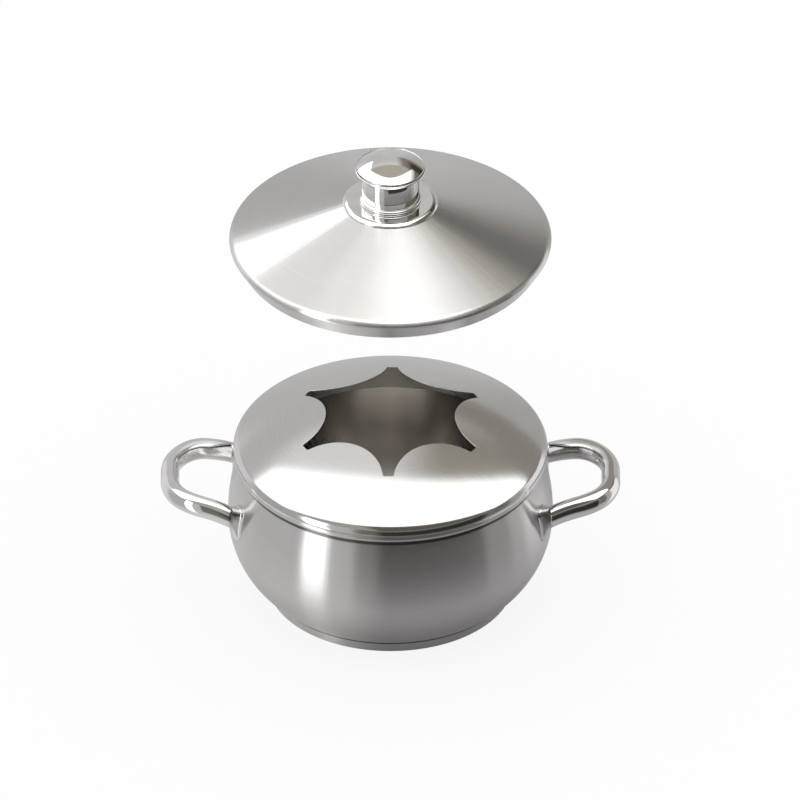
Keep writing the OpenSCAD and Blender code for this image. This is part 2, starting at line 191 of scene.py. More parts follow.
# One node tree, of a material or of the world
class Maker:
    def __init__(self, tree):
        self.tree = tree
        tree.nodes.clear()

    def node(self, kind, settings=None, inputs=None, output=0):
        made = self.tree.nodes.new(kind)
        for name, value in (settings or {}).items():
            if name == "stops":
                self.setStops(made.color_ramp, value)
            else:
                setattr(made, name, value)
        for name, value in (inputs or {}).items():
            if isinstance(value, Wire):
                self.tree.links.new(value.socket, made.inputs[name])
            else:
                made.inputs[name].default_value = value
        return Wire(self, made.outputs[output]) if made.outputs else None

    def setStops(self, ramp, stops):
        while len(ramp.elements) < len(stops):
            ramp.elements.new(1.0)
        for element, (place, colour) in zip(ramp.elements, stops):
            element.position = place
            element.color = (*colour, 1.0)

    def calc(self, operation, *values):
        return self.node("ShaderNodeMath", {"operation": operation}, dict(enumerate(values)))

    # Place on the piece in metres, as one vector or as x, y and z
    def coordinates(self):
        return self.node("ShaderNodeTexCoord", output="Object")

    def place(self):
        split = self.node("ShaderNodeSeparateXYZ", None, {0: self.coordinates()}).socket.node
        return [Wire(self, socket) for socket in split.outputs]

    # Noise between 0 and 1, 0.5 on average
    def noise(self, vector, scale, detail=2.0, w=None, roughness=0.5):
        settings = {"noise_dimensions": "4D" if w is not None else "3D"}
        inputs = {"Vector": vector, "Scale": scale, "Detail": detail, "Roughness": roughness}
        if w is not None:
            inputs["W"] = w
        return self.node("ShaderNodeTexNoise", settings, inputs)

    def ramp(self, value, stops):
        return self.node("ShaderNodeValToRGB", {"stops": stops}, {0: value})

    # 0 below low, 1 above high, and a smooth rise between them
    def rise(self, value, low, high):
        inputs = {"Value": value, "From Min": low, "From Max": high}
        return self.node("ShaderNodeMapRange", {"interpolation_type": "SMOOTHSTEP"}, inputs)

    # The same between two lengths in millimetres
    def fade(self, length, ends):
        return self.rise(length, ends[0] * mm, ends[1] * mm)

    # 1 between low and high, fading over soft at each end
    def band(self, value, low, high, soft):
        end = self.rise(value, high - soft, high + soft)
        return self.rise(value, low - soft, low + soft) * (1 - end)

    def blend(self, share, first, second):
        return self.node("ShaderNodeMix", {"data_type": "RGBA"},
                         {0: share, 6: opaque(first), 7: opaque(second)}, output=2)

    # Waves or grain of a depth in millimetres
    def bump(self, height, depth, strength=1.0):
        inputs = {"Strength": strength, "Distance": depth * mm, "Height": height}
        return self.node("ShaderNodeBump", None, inputs)

    def glow(self, colour):
        return self.node("ShaderNodeEmission", None, {"Color": opaque(colour), "Strength": 1.0})

    def mixShader(self, share, first, second):
        return self.node("ShaderNodeMixShader", None, {0: share, 1: first, 2: second})

    def clear(self):
        return self.node("ShaderNodeBsdfTransparent")

    def metal(self, colour, rough, bump, anisotropy=0.0, grainTurn=0.0):
        return self.node("ShaderNodeBsdfPrincipled", None, {
            "Base Color": colour, "Metallic": 1.0, "Roughness": rough, "Normal": bump,
            "Anisotropic": anisotropy, "Anisotropic Rotation": grainTurn})

    def finish(self, surface, kind="ShaderNodeOutputMaterial"):
        self.node(kind, None, {"Surface": surface})


def opaque(colour):
    return colour if isinstance(colour, Wire) else (*colour, 1.0)


def newMaterial(name):
    material = bpy.data.materials.new(name)
    material.use_nodes = True
    return material, Maker(material.node_tree)


# 1 on the inside of the bowl's wall and on its floor, 0 on the outside
def insideOf(make, shape, radius, z):
    rise = z - shape.widest * mm
    reaches = []
    for centre, curve in ((shape.upCentre, shape.upRadius), (shape.lowCentre, shape.lowRadius)):
        run = radius - centre[0] * mm
        reaches.append((run * run + rise * rise) ** 0.5 - curve * mm)
    # How far the place lies outside the wall's outer face, which is minus the sheet on the inner one
    upper = make.fade(rise, (-0.1, 0.1))
    outward = reaches[0] * upper + reaches[1] * (1 - upper)
    wall = 1 - make.fade(outward, (-0.7 * shape.sheet, -0.3 * shape.sheet))
    floorTop = shape.bottom + shape.sheet
    floor = 1 - make.fade(z, (floorTop + 0.5, floorTop + 1.5))
    return make.calc("MAXIMUM", wall, floor)


# Steel brushed round the Z axis: fine streaks that run with the turning.
# Over the two radii in polishFrom it gives way to a smoother, polished edge.
# Painted shade bands are dark lines painted between two heights, standing in for the shade in a joint or
# under a rolled rim.
def brushedSteel(name, changes, shape=None):
    look = {**steelLook, **changes}
    material, make = newMaterial(name)
    x, y, z = make.place()
    radius = (x * x + y * y) ** 0.5 + 1e-5
    along = look["streakTurns"]
    streaks = []
    for pitch, detail in ((look["finePitch"], 2.0), (look["coarsePitch"], 3.0)):
        across = 1 / (pitch * mm)
        vector = make.node("ShaderNodeCombineXYZ", None,
                           {0: x / radius * along, 1: y / radius * along, 2: radius * across})
        streaks.append(make.noise(vector, 1.0, detail, w=z * across))
    fine, coarse = streaks
    cloud = make.noise(make.coordinates(), look["cloudScale"], detail=3.0)
    fineTone, coarseTone, cloudTone = look["toneShares"]
    tone = make.rise(coarse * coarseTone + fine * fineTone + cloud * cloudTone, *look["toneRange"])
    colour = make.blend(tone, look["dark"], look["pale"])
    rough = look["roughness"] + (fine - 0.5) * look["roughnessSpread"]
    if "polishFrom" in look:
        polished = make.fade(radius, look["polishFrom"])
        rough = rough + polished * (look["edgeRoughness"] - look["roughness"])
    brush = fine * look["fineBrush"] + coarse * (1 - look["fineBrush"])
    if shape:
        inside = insideOf(make, shape, radius, z)
        # Painted shade: the inside takes the darker inside colour; its lower roughness and calmer brushing
        # are a finish of its own
        colour = make.blend(inside, colour, look["insideShadedSteel"])
        rough = rough + inside * (look["insideRoughness"] - look["roughness"])
        brush = brush * (1 - inside * look["insideCalm"])
    # Painted shade: each band darkens the colour towards the shade tone; on the bowl only its outside
    for low, high, soft in look["paintedShadeBands"]:
        seam = make.band(z, low * mm, high * mm, soft * mm)
        if shape:
            seam = seam * (1 - inside)
        colour = make.blend(seam, colour, look["paintedShadeSteel"])
    # Shallow waves that run out from the axis, which draw the light into spokes
    around = make.node("ShaderNodeCombineXYZ", None, {0: x / radius, 1: y / radius, 2: 0.0})
    spokes = make.noise(around, look["spokeScale"], detail=3.0, roughness=0.6)
    bump = make.bump(brush * look["brushDepth"] + spokes * look["spokeDepth"], depth=1.0)
    make.finish(make.metal(colour, rough, bump, look["anisotropy"], look["grainTurn"]))
    return material


# Mirror polish, with the faint waviness and hairlines that buffing leaves
def polishedSteel(name, look):
    material, make = newMaterial(name)
    wave = make.noise(make.coordinates(), look["waveScale"], detail=2.0)
    hair = make.noise(make.coordinates(), look["hairScale"], detail=4.0, roughness=0.7)
    colour = make.blend(make.rise(wave, *look["waveRange"]), look["dark"], look["pale"])
    rough = look["roughness"] + make.rise(hair, *look["hairRange"]) * look["hairRoughness"]
    make.finish(make.metal(colour, rough, make.bump(wave, look["bumpDepth"], look["bump"])))
    return material


# Plain metal with a fine grain, for the pieces that hardly show
def grainedMetal(name, look):
    material, make = newMaterial(name)
    grain = make.noise(make.coordinates(), look["grainScale"], detail=4.0)
    patch = make.noise(make.coordinates(), look["patchScale"], detail=2.0)
    share = look["grainShare"]
    tone = make.rise(grain * share + patch * (1 - share), *look["toneRange"])
    rough = look["roughness"] + (grain - 0.5) * look["roughnessSpread"]
    bump = make.bump(grain, look["bumpDepth"], look["bump"])
    make.finish(make.metal(make.blend(tone, look["dark"], look["pale"]), rough, bump))
    return material


steelLook = {
    "dark": (0.69, 0.68, 0.67),
    "pale": (0.74, 0.73, 0.725),
    "streakTurns": 3.0,
    "finePitch": 0.14,
    "coarsePitch": 0.7,
    "cloudScale": 14.0,
    "toneShares": (0.35, 0.35, 0.30),  # fine streaks, coarse ones, clouds
    "toneRange": (0.35, 0.65),
    "roughness": 0.29,
    "roughnessSpread": 0.04,
    "brushDepth": 0.0004,
    "fineBrush": 0.7,  # share of the fine streaks in the brushing's depth
    "spokeScale": 9.0,
    "spokeDepth": 0.05,
    "anisotropy": 1.0,
    "grainTurn": 0.25,
    "paintedShadeBands": (),  # painted shade bands: lowest and highest height, softness
    # Colour of the painted shade bands
    "paintedShadeSteel": (0.18, 0.18, 0.17),
}
polishLook = {
    "dark": (0.80, 0.79, 0.78),
    "pale": (0.86, 0.85, 0.84),
    "waveScale": 60.0,
    "waveRange": (0.3, 0.7),
    "hairScale": 900.0,
    "hairRange": (0.5, 0.9),
    "roughness": 0.05,
    "hairRoughness": 0.05,
    "bump": 0.05,
    "bumpDepth": 0.05,
}
aluminiumLook = {
    "dark": (0.58, 0.59, 0.60), "pale": (0.70, 0.71, 0.72), "toneRange": (0.35, 0.65),
    "grainShare": 0.4,  # the patches have the rest
    "grainScale": 1500.0, "patchScale": 60.0, "bump": 0.2, "bumpDepth": 0.03,
    "roughness": 0.42, "roughnessSpread": 0.15,
}
fastenerLook = {
    **aluminiumLook, "dark": (0.48, 0.48, 0.49), "pale": (0.62, 0.62, 0.63),
    "grainScale": 1200.0, "patchScale": 90.0, "bump": 0.15, "bumpDepth": 0.02,
    "roughness": 0.32, "roughnessSpread": 0.12,
}
finishes = {
    "pot_steel": brushedSteel("potSteel", {
        # Painted shade: the inside's steel colour is darker and browner than the outside's
        "insideShadedSteel": (0.60, 0.57, 0.53),
        "insideRoughness": 0.21,
        "insideCalm": 0.85,  # how much less the brushing shows inside
        # Painted shade: a dark band over the joint above the base cap, and one under the rolled rim
        "paintedShadeBands": ((capHigh.z - 2, capHigh.z + 1.5, 0.5), (bowlHigh.z - 9, bowlHigh.z - 4.6, 0.4)),
    }, bowlShape),
    "base_steel": brushedSteel("baseSteel", {
        "dark": (0.78, 0.77, 0.765),
        "pale": (0.84, 0.83, 0.825),
        "roughness": 0.36,
        "streakTurns": 2.0,
        "spokeDepth": 0.02,
        # Painted shade: a dark band along the cap's top, under the bowl's bulge
        "paintedShadeBands": ((capHigh.z - 0.9, capHigh.z + 1, 0.2),),
    }),
    "guard_steel": brushedSteel("guardSteel", {
        "roughness": 0.17,
        "anisotropy": 0.3,
        "polishFrom": (100.5, 101.5),
        "edgeRoughness": 0.14,
    }),
    "ring_steel": brushedSteel("ringSteel", {"dark": (0.60, 0.59, 0.57), "pale": (0.68, 0.67, 0.65)}),
    "lid_steel": brushedSteel("lidSteel", {"roughness": 0.25, "spokeDepth": 0.08}),
    "handle_steel": polishedSteel("handleSteel", polishLook),
    "knob_steel": polishedSteel("knobSteel", polishLook),
    "core_aluminium": grainedMetal("coreAluminium", aluminiumLook),
    "fastener_steel": grainedMetal("fastenerSteel", fastenerLook),
}
print("finishes made:", len(finishes))


def linkObject(name, data):
    made = bpy.data.objects.new(name, data)
    bpy.context.scene.collection.objects.link(made)
    return made


def makePiece(name, vertices, faces, body, slot, nodes, sharpAngle=32):
    mesh = bpy.data.meshes.new(name)
    mesh.from_pydata([[c * mm for c in v] for v in vertices], [], faces)
    working = bmesh.new()
    working.from_mesh(mesh)
    bmesh.ops.remove_doubles(working, verts=working.verts, dist=0.002 * mm)
    bmesh.ops.recalc_face_normals(working, faces=working.faces)
    working.to_mesh(mesh)
    working.free()
    mesh.shade_smooth()
    mesh.set_sharp_from_angle(angle=math.radians(sharpAngle))
    mesh.materials.append(finishes[slot])
    piece = linkObject(name, mesh)
    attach(piece, body)
    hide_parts(*nodes)


def circle(radius, height, sides):
    return [(*polar(radius, 360 * i / sides), height) for i in range(sides)]


# A closed profile of (radius, height) points, turned round the Z axis
def turnedPiece(name, profile, body, slot, nodes, sides=288, sharpAngle=32):
    vertices, rings = [], []
    for radius, height in profile:
        ring = circle(radius, height, sides if radius > 1e-6 else 1)
        rings.append(range(len(vertices), len(vertices) + len(ring)))
        vertices += ring
    faces = []
    for k, first in enumerate(rings):
        second = rings[(k + 1) % len(rings)]
        if len(first) == 1 and len(second) == 1:
            continue
        for i in range(sides):
            j = (i + 1) % sides
            corners = [first[i % len(first)], first[j % len(first)],
                       second[j % len(second)], second[i % len(second)]]
            faces.append(list(dict.fromkeys(corners)))
    makePiece(name, vertices, faces, body, slot, nodes, sharpAngle)


# Points between two given ones, so that long straight stretches have short faces
def straight(first, last, steps):
    return list(zip(spaced(first[0], last[0], steps), spaced(first[1], last[1], steps)))


# The point at a distance from first on the way to last
def towards(first, last, distance):
    share = distance / math.hypot(last[0] - first[0], last[1] - first[1])
    return (first[0] + (last[0] - first[0]) * share, first[1] + (last[1] - first[1]) * share)


# A rounded corner between a point before it and a point after it
def softCorner(before, corner, after, steps=6):
    points = []
    for t in spaced(0, 1, steps):
        points.append(tuple((1 - t) ** 2 * a + 2 * t * (1 - t) * b + t ** 2 * c
                            for a, b, c in zip(before, corner, after)))
    return points


def makeBowl():
    shape = bowlShape
    outside, inside = shape.side(0), shape.side(-shape.sheet)
    rollStart = 180 + shape.rollAngle
    curlIn = arc(shape.rollCentre, shape.rollHollow, rollStart, shape.rollEnd, steps=30)
    curlOut = arc(shape.rollCentre, shape.rollRadius, shape.rollEnd, rollStart, steps=44)
    floorOut = straight((0, shape.bottom), outside[0], steps=24)
    floorIn = straight(inside[0], (0, shape.bottom + shape.sheet), steps=24)
    profile = floorOut + outside[1:] + curlIn[1:] + curlOut + inside[::-1][1:-1] + floorIn
    turnedPiece("pot_bowl", profile, "pot", "pot_steel", ["pot_shell"], sides=360)


baseCap = {
    "taper": 2.4,
    "footRadius": 2.0,
    "seamRound": 0.3,
    "seamDepth": 1.0,
    "ledgeFall": 0.1,  # how much the ledge under the bowl falls inwards
    "sheet": 1.0,
    "ringFirst": 6.0,
    "ringLast": 76.0,
    "ringPitch": 2.0,
    "ringDepth": 0.12,
    "ringSteps": 4,
}


# The cap that closes the core, with turned rings on its underside
def makeBaseCap():
    part = baseCap
    sheet, seam, seamRadius, seamHeight = part["sheet"], part["seamRound"], capHigh.x, capHigh.z
    centre = (seamRadius - part["taper"] - part["footRadius"], part["footRadius"])
    steps = part["ringSteps"]
    count = int((part["ringLast"] - part["ringFirst"]) / part["ringPitch"])
    rings = [(0.0, 0.0)]
    for i in range(count * steps + 1):
        wave = 0.5 - 0.5 * cosDeg(360 * i / steps)
        rings.append((part["ringFirst"] + part["ringPitch"] * i / steps, part["ringDepth"] * wave))
    outside = arc(centre, part["footRadius"], -90, 0, steps=10)
    wallTop = (seamRadius - seam * part["taper"] / seamHeight, seamHeight - seam)
    wall = straight(outside[-1], wallTop, steps=6)
    lip = arc((seamRadius - seam, seamHeight - seam), seam, 10, 90, steps=4)
    ledge = [(bowlShape.wall(seamHeight) + overlapStep, seamHeight - part["seamDepth"]),
             (bowlShape.wall(seamHeight - sheet) - sheet, seamHeight - sheet - part["ledgeFall"])]
    hollow = arc(centre, part["footRadius"] - sheet, 0, -90, steps=6)
    profile = rings + outside + wall[1:] + lip + ledge + hollow + [(0.0, sheet)]
    turnedPiece("base_cap_turned", profile, "pot", "base_steel", ["base_cap"], sharpAngle=40)


makeBowl()
makeBaseCap()
print("bowl and base made")


# Handles: an oval tube along straight legs, round corners and a short straight grip
handle = {
    "tubeWidth": 12.5,
    "tubeHeight": 15.2,
    "cornerRadius": 30.0,
    "gripLength": 12.0,
    "legAngle": 11.3,
    "legDrop": 6.5,
    "levelLength": 11.0,
    "legStart": 0.4,
    "gripHeight": 85.8,
    "jointGroove": 0.25,
    "sides": 64,
}
foot = {
    "width": 13.0,
    "height": 25.0,
    "drop": 7.0,
    "shift": 4.0,
    "thickness": 1.4,
    "cornerRadius": 4.5,
    "edgeRound": 0.6,
    "flare": 1.3,  # 1 is straight, more draws the sides of the block in
    "sides": 96,
    "steps": 12,
}
reach = boxMm("right_handle")[1].x


class HandlePath:
    def __init__(self, part):
        self.part = part
        self.gripX = reach - part["tubeWidth"] / 2
        self.cornerCentre = (self.gripX - part["cornerRadius"], part["gripLength"] / 2)
        self.legHeight = part["gripHeight"] - part["legDrop"]
        self.legX = bowlShape.wall(self.legHeight) - part["legStart"]
        self.legTurn = 90 - part["legAngle"]
        aside, behind = polar(part["cornerRadius"], self.legTurn)
        self.legTop = (self.cornerCentre[0] + aside, self.cornerCentre[1] + behind)
        self.legY = self.legTop[1] + (self.legTop[0] - self.legX) * tanDeg(part["legAngle"])
        self.levelX = self.gripX - part["levelLength"]

    def height(self, x):
        if x > self.levelX:
            return self.part["gripHeight"]
        share = (self.levelX - x) / (self.levelX - self.legX)
        return self.part["gripHeight"] - self.part["legDrop"] * share ** 2

    # The centre line from the rear leg's foot over the grip to the front one: x, y, direction outwards
    def stations(self, legSteps=24, cornerSteps=44, gripSteps=6):
        leg = straight((self.legX, self.legY), self.legTop, legSteps)[:-1]
        corner = arc(self.cornerCentre, self.part["cornerRadius"], self.legTurn, 0, cornerSteps)
        grip = straight((self.gripX, self.cornerCentre[1]), (self.gripX, 0), gripSteps)[1:]
        turns = [self.legTurn] * len(leg) + spaced(self.legTurn, 0, cornerSteps) + [0] * len(grip)
        half = [(x, y, turn) for (x, y), turn in zip(leg + corner + grip, turns)]
        return half + [(x, -y, -turn) for x, y, turn in half[::-1][1:]]


handlePath = HandlePath(handle)


# The tube's oval at a place on its way, smaller by inset
def tubeRing(x, y, turn, height, inset, sides):
    ring = []
    for j in range(sides):
        across, up = polar(1, 360 * j / sides)
        outX, outY = polar((handle["tubeWidth"] / 2 - inset) * across, turn)
        ring.append((x + outX, y + outY, height + (handle["tubeHeight"] / 2 - inset) * up))
    return ring


# Faces between rings with the same number of points, closed at both ends or round in a loop
def bridge(rings, loop=False):
    vertices = [vertex for ring in rings for vertex in ring]
    size, last = len(rings[0]), len(rings) - 1
    faces = []
    for k in range(last + 1 if loop else last):
        after = (k + 1) % len(rings)
        for j in range(size):
            i = (j + 1) % size
            faces.append([k * size + j, k * size + i, after * size + i, after * size + j])
    if not loop:
        faces.append(list(range(size))[::-1])
        faces.append([last * size + j for j in range(size)])
    return vertices, faces


def makeHandle(name, node, side):
    groove, path = handle["jointGroove"], handlePath.stations()
    # The ends are smaller, so that a fine line shows where the tube is welded on
    start = (*towards(path[0], path[1], groove), path[0][2])
    end = (*towards(path[-1], path[-2], groove), path[-1][2])
    rings = []
    for x, y, turn in [path[0], start] + path[1:-1] + [end, path[-1]]:
        inset = groove if (x, y, turn) in (path[0], path[-1]) else 0
        ring = tubeRing(x, y, turn, handlePath.height(x), inset, handle["sides"])
        rings.append([(side * x, y, z) for x, y, z in ring])
    makePiece(name, *bridge(rings), "pot", "handle_steel", [node], sharpAngle=30)


# Point of the wall at a height, grown outwards, at a place across the pot
def wallPoint(y, height, grown):
    tilt = bowlShape.tilt(height)
    radius = bowlShape.wall(height) + grown * cosDeg(tilt)
    return (math.sqrt(radius ** 2 - y ** 2), y, height + grown * sinDeg(tilt))


# Outline of the plate at a direction from its middle, a rounded rectangle shrunk by inset
def plateOutline(turn, inset, rounds=40):
    halfW, halfH = foot["width"] / 2 - inset, foot["height"] / 2 - inset
    corner = foot["cornerRadius"] - inset
    dx, dz = polar(1, turn)
    low, high = 0.0, halfW + halfH
    for _ in range(rounds):
        middle = (low + high) / 2
        outX = max(abs(dx * middle) - (halfW - corner), 0)
        outZ = max(abs(dz * middle) - (halfH - corner), 0)
        inside = math.hypot(outX, outZ) <= corner
        low, high = (middle, high) if inside else (low, middle)
    return dx * low, dz * low


# A foot: a block that narrows from the plate on the belly to the end of the tube
def makeFoot(name, node, sideX, sideY):
    path, sides, groove = handlePath, foot["sides"], handle["jointGroove"]
    edge, thick = foot["edgeRound"], foot["thickness"]

    def plateRing(inset, grown):
        ring = []
        for j in range(sides):
            dy, dz = plateOutline(360 * j / sides, inset)
            ring.append(wallPoint(path.legY - foot["shift"] + dy, path.legHeight - foot["drop"] + dz, grown))
        return ring

    backX, backY = polar(groove, 180 - handle["legAngle"])
    start = tubeRing(path.legX + backX, path.legY + backY, path.legTurn, path.legHeight, 0, sides)
    rim = plateRing(edge, thick)
    rings = [tubeRing(path.legX, path.legY, path.legTurn, path.legHeight, groove, sides), start]
    for share in spaced(0, 1, foot["steps"])[1:]:
        wide = share ** foot["flare"]
        rings.append([(xa + (xb - xa) * share, ya + (yb - ya) * wide, za + (zb - za) * wide)
                      for (xa, ya, za), (xb, yb, zb) in zip(start, rim)])
    for angle in (30, 60, 90):
        rings.append(plateRing(edge * (1 - sinDeg(angle)), thick - edge * (1 - cosDeg(angle))))
    rings.append(plateRing(0, overlapStep))
    rings = [[(x * sideX, y * sideY, z) for x, y, z in ring] for ring in rings]
    makePiece(name, *bridge(rings), "pot", "handle_steel", [node], sharpAngle=40)


for sideX, sideName in ((-1, "left"), (1, "right")):
    makeHandle(sideName + "_handle_tube", sideName + "_handle", sideX)
    for sideY, endName in ((-1, "front"), (1, "rear")):
        place = sideName + "_" + endName + "_foot"
        makeFoot(place + "_plate", place, sideX, sideY)
print("handles and feet made")


# Guard: a dome with a star opening and a rounded edge
guard = {
    "domeRadius": 215.0,
    "edgeRadius": 7.0,
    "sheet": 1.0,
    "starRadius": 65.2,
    "petalRadius": 36.8,
    "petalCentre": 80.0,
    "pointRadius": 1.2,
    "starTurn": -1.2,
    "cutRound": 0.3,
    "petalSteps": 56,
    "cornerSteps": 8,
    "endSteps": 4,
    "domeSteps": 44,
    "crowding": 1.25,  # above 1, rows of faces lie closer together near the star
    "edgeSteps": 16,
    "underSteps": 20,
}
guardLow, guardHigh = boxMm("guard_plate")
guardEdge = (guardHigh.x - guard["edgeRadius"], guardLow.z)
edgeReach = guard["domeRadius"] - guard["edgeRadius"]
domeCentre = guardLow.z - math.sqrt(edgeReach ** 2 - guardEdge[0] ** 2)
domeAngle = math.degrees(math.acos(guardEdge[0] / edgeReach))


# The star's outline: petal arcs, and blunt points with a round at each corner.
# Each entry is x, y and the direction that leads away from the opening, as x and y too.
def starOutline():
    part = guard
    petal, centre, point = part["petalRadius"], part["petalCentre"], part["pointRadius"]
    reachIn, reachOut = part["starRadius"] - point, petal + point
    # Half of what shows of a petal, and where a point's two corners have their centres
    petalTurn = cornerOf(centre, reachOut, reachIn)
    near = cornerOf(centre, reachIn, reachOut)
    far = 60 - near

    def corner(side, first, last):
        x, y = polar(reachIn, side)
        turns = spaced(first, last, part["cornerSteps"])
        return [(x + point * cosDeg(a), y + point * sinDeg(a), a) for a in turns]

    sixth = [(centre - petal * cosDeg(a), petal * sinDeg(a), -a)
             for a in spaced(-petalTurn, petalTurn, part["petalSteps"])]
    sixth += corner(near, -petalTurn, near)[1:]
    sixth += [(*polar(part["starRadius"], a), a) for a in spaced(near, far, part["endSteps"])[1:-1]]
    sixth += corner(far, far, 60 + petalTurn)[:-1]
    outline = []
    for k in range(6):
        turn = part["starTurn"] + 60 * k
        c, s = polar(1, turn)
        outline += [(x * c - y * s, x * s + y * c, *polar(1, away + turn)) for x, y, away in sixth]
    return outline


def makeGuardPlate():
    part = guard
    outline = starOutline()
    top, under = part["domeRadius"], part["domeRadius"] - part["sheet"]
    cut, edgeSteps = part["cutRound"], part["edgeSteps"]

    # The star's outline grown by out, moved by a share of the way to the dome's edge, on a sphere
    def domeRing(out, share, sphere, sink=0.0):
        points = []
        for x, y, nx, ny in outline:
            px, py = x + nx * out, y + ny * out
            length = math.hypot(px, py)
            radius = length + (sphere * cosDeg(domeAngle) - length) * share
            height = domeCentre + math.sqrt(sphere ** 2 - radius ** 2) - sink
            points.append((px / length * radius, py / length * radius, height))
        return points

    def edgeRing(radius, height):
        around = [(x / math.hypot(x, y), y / math.hypot(x, y)) for x, y, _, _ in outline]
        return [(x * radius, y * radius, height) for x, y in around]

    rings = []
    for angle in (0, 30, 60, 90):
        rings.append(domeRing(cut * (1 - cosDeg(angle)), 0, top, cut * (1 - sinDeg(angle))))
    for share in spaced(0, 1, part["domeSteps"])[1:]:
        rings.append(domeRing(cut, share ** part["crowding"], top))
    edge = arc(guardEdge, part["edgeRadius"], domeAngle, 0, edgeSteps)[1:]
    edge += arc(guardEdge, part["edgeRadius"] - part["sheet"], 0, domeAngle, edgeSteps)
    rings += [edgeRing(*place) for place in edge]
    for share in spaced(1, 0, part["underSteps"])[1:]:
        rings.append(domeRing(cut / 2, share, under))
    rings.append(domeRing(0, 0, under, -cut / 2))
    vertices, faces = bridge(rings, loop=True)
    makePiece("guard_dome", vertices, faces, "guard", "guard_steel", ["guard_plate"], sharpAngle=50)


guardRing = {
    "sheet": 0.8,
    "edgeRound": 0.25,
    "skirtGap": 0.8,
    "endFace": 1.0,  # height of the faces next to a rounded edge
}
ringLow, ringHigh = boxMm("guard_ring")


# The ring under the guard, whose skirt centres it in the mouth
def makeGuardRing():
    part = guardRing
    sheet, soft, endFace = part["sheet"], part["edgeRound"], part["endFace"]
    mouth = min(bowl["mouthDiameter"] / 2, bowlShape.wall(ringLow.z) - bowl["sheet"])
    skirt = mouth - part["skirtGap"]
    low, top, outer, inner = ringLow.z, ringHigh.z, ringHigh.x, skirt - sheet
    profile = (arc((inner + soft, low + soft), soft, 180, 270, steps=4)
               + arc((skirt - soft, low + soft), soft, 270, 360, steps=4)
               + straight((skirt, low + endFace), (skirt, top - sheet), steps=8)
               + [(outer, top - sheet), (outer, top)]
               + arc((inner + soft, top - soft), soft, 90, 180, steps=4)
               + straight((inner, top - endFace), (inner, low + endFace), steps=10))
    turnedPiece("guard_skirt", profile, "guard", "ring_steel", ["guard_ring"])


makeGuardPlate()
makeGuardRing()
print("guard made")


# Lid: a low cone with a rounded shoulder and a band that draws in towards its foot
lid = {
    "sheet": 1.0,
    "shoulderRadius": 4.6,
    "slope": 18.8,
    "bandTaper": 7.3,
    "seatRadius": 29.0,
    "holeRadius": 3.3,
    "hemRound": 0.35,
    "seatRound": 3.0,
    "creaseRound": 1.2,
    "creaseTurn": 10.0,
    "seatEdge": 4.0,  # width of the first faces inside the seat's edge
}
lidLow, lidHigh = boxMm("lid_shell")
knobFoot = lidHigh.z


def makeLid():
    part = lid
    sheet, slope, hem = part["sheet"], part["slope"], part["hemRound"]
    size, seat, hole = part["shoulderRadius"], part["seatRadius"], part["holeRadius"]
    outer, low, under = lidHigh.x, lidLow.z, knobFoot - sheet
    coneAngle = 90 - slope
    # The shoulder's centre follows from the seat's height, as the cone is tangent to the shoulder
    coneX = outer - size + size * sinDeg(slope)
    centre = (outer - size, knobFoot - size * cosDeg(slope) - (coneX - seat) * tanDeg(slope))
    crease, footOut = (outer, centre[1]), (outer - part["bandTaper"], low)
    bandTurn = math.atan(part["bandTaper"] / (centre[1] - low))
    footIn = (footOut[0] - sheet / math.cos(bandTurn), low)
    innerTurn = math.degrees(math.asin(sheet * math.tan(bandTurn / 2) / (size - sheet)))
    shoulder = arc(centre, size, part["creaseTurn"], coneAngle, steps=14)
    shoulderIn = arc(centre, size - sheet, coneAngle, innerTurn, steps=14)
    bandLow, bandTop = towards(footOut, crease, hem), towards(crease, footOut, part["creaseRound"])
    inside = towards(footIn, shoulderIn[-1], hem)
    # A soft bend between the cone and the flat seat
    soft = part["seatRound"]
    bend = arc((seat - soft * tanDeg(slope / 2), knobFoot - soft), soft, coneAngle, 90, steps=6)
    cone = straight(shoulder[-1], bend[0], steps=44)
    seatIn = (seat - sheet * tanDeg(slope / 2), under)
    profile = (softCorner(inside, footIn, towards(footIn, footOut, hem))
               + softCorner(towards(footOut, footIn, hem), footOut, bandLow)
               + straight(bandLow, bandTop, steps=8)[1:-1]
               + softCorner(bandTop, crease, shoulder[0]) + shoulder[1:] + cone[1:-1] + bend
               + straight((seat - part["seatEdge"], knobFoot), (hole, knobFoot), steps=6)
               + straight((hole, under), seatIn, steps=6)[:-1]
               + straight(seatIn, shoulderIn[0], steps=40)
               + shoulderIn[1:] + straight(shoulderIn[-1], inside, steps=8)[1:-1])
    turnedPiece("lid_cone", profile, "lid", "lid_steel", ["lid_shell"], sides=360, sharpAngle=50)


makeLid()
print("lid made")


# Knob: flange, neck, collar and cap, each turned and polished
knob = {
    "flangeThickness": 2.0,
    "flangeFlat": 27.6,
    "flangeSkirt": 0.55,  # how far its edge reaches down over the cone
    "flangeEdge": 0.35,
    "neckRadius": 19.3,
    "neckHeight": 20.0,
    "footHeight": 3.0,
    "barrel": 0.35,
    "groove": 0.6,
    "sheet": 1.2,
    "collarHeight": 4.4,
    "collarLip": 2.6,
    "capRadius": 22.6,
    "capRise": 6.5,
    "capGap": 1.2,
    "capFit": 2.0,
    "capEdgeDrop": 0.05,
    "capEdgeSize": 0.95,  # share of half the gap below the cap
    "capEdgeTurn": 0.6,  # how far above its rim the dome starts
    "pressGap": 0.1,
    "insertLip": 12.0,
    "underNeck": 2.0,  # width of the flange's top that lies under the neck
    "seatSpare": 1.0,  # how far inside the seat's edge the flange lifts off it
    "sides": 256,
}
flangeRadius = boxMm("knob_flange")[1].x
collarRadius = boxMm("knob_collar")[1].x
neckLow = knobFoot + knob["flangeThickness"]
collarLow = neckLow + knob["neckHeight"]
neckInner = knob["neckRadius"] - knob["barrel"] - knob["sheet"]


def knobPiece(node, profile, sharpAngle=38):
    turnedPiece(node + "_turned", profile, "lid", "knob_steel", [node], knob["sides"], sharpAngle)


